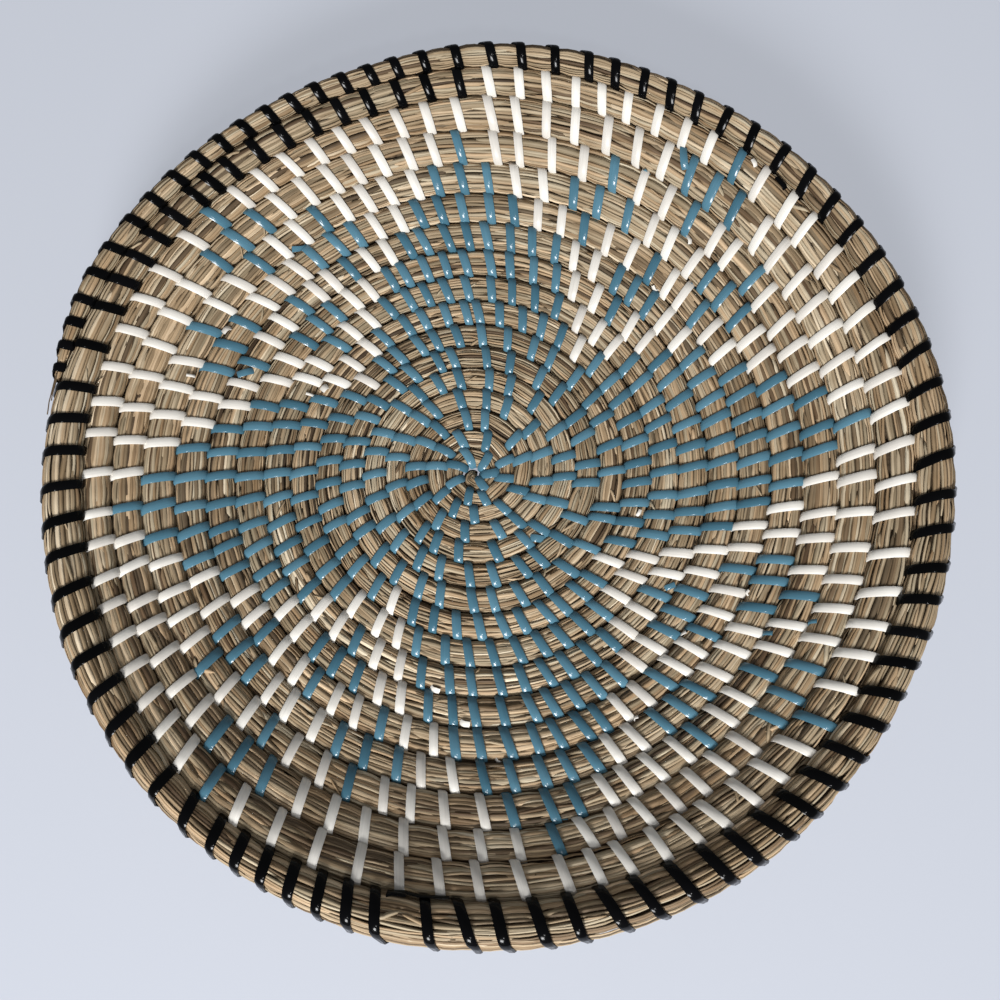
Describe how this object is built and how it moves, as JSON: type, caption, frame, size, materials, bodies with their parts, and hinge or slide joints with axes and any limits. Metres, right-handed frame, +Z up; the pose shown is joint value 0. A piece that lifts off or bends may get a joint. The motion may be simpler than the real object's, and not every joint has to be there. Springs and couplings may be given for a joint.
{
  "type": "coiled basket",
  "caption": "Shallow round coiled basket: a spiral of bundled grass with a flat floor and a flared wall, lashed at the rim and stitched in a star pattern with flat strap.",
  "frame": {"origin": "under the middle of the basket's outline, on the surface that it stands on", "axes": "+Z up, out of the bowl's mouth; the coil's loose end lies towards -X and a little towards +Y"},
  "size_m": [0.295, 0.297, 0.0467],
  "materials": {
    "dry_grass": "matte dry stems, pale and darker straws mixed",
    "black_strap": "gloss",
    "white_strap": "semi-matte",
    "blue_strap": "gloss"
  },
  "bodies": {
    "root": {"grass_coil": "dry_grass", "black_strap_1": "black_strap", "black_strap_2": "black_strap", "black_strap_3": "black_strap", "black_strap_4": "black_strap", "white_strap_1": "white_strap", "white_strap_2": "white_strap", "white_strap_3": "white_strap", "blue_strap_1": "blue_strap", "blue_strap_2": "blue_strap", "blue_strap_3": "blue_strap", "blue_strap_4": "blue_strap", "blue_strap_5": "blue_strap", "blue_strap_6": "blue_strap", "blue_strap_7": "blue_strap", "blue_strap_8": "blue_strap", "blue_strap_9": "blue_strap"}
  },
  "joints": []
}
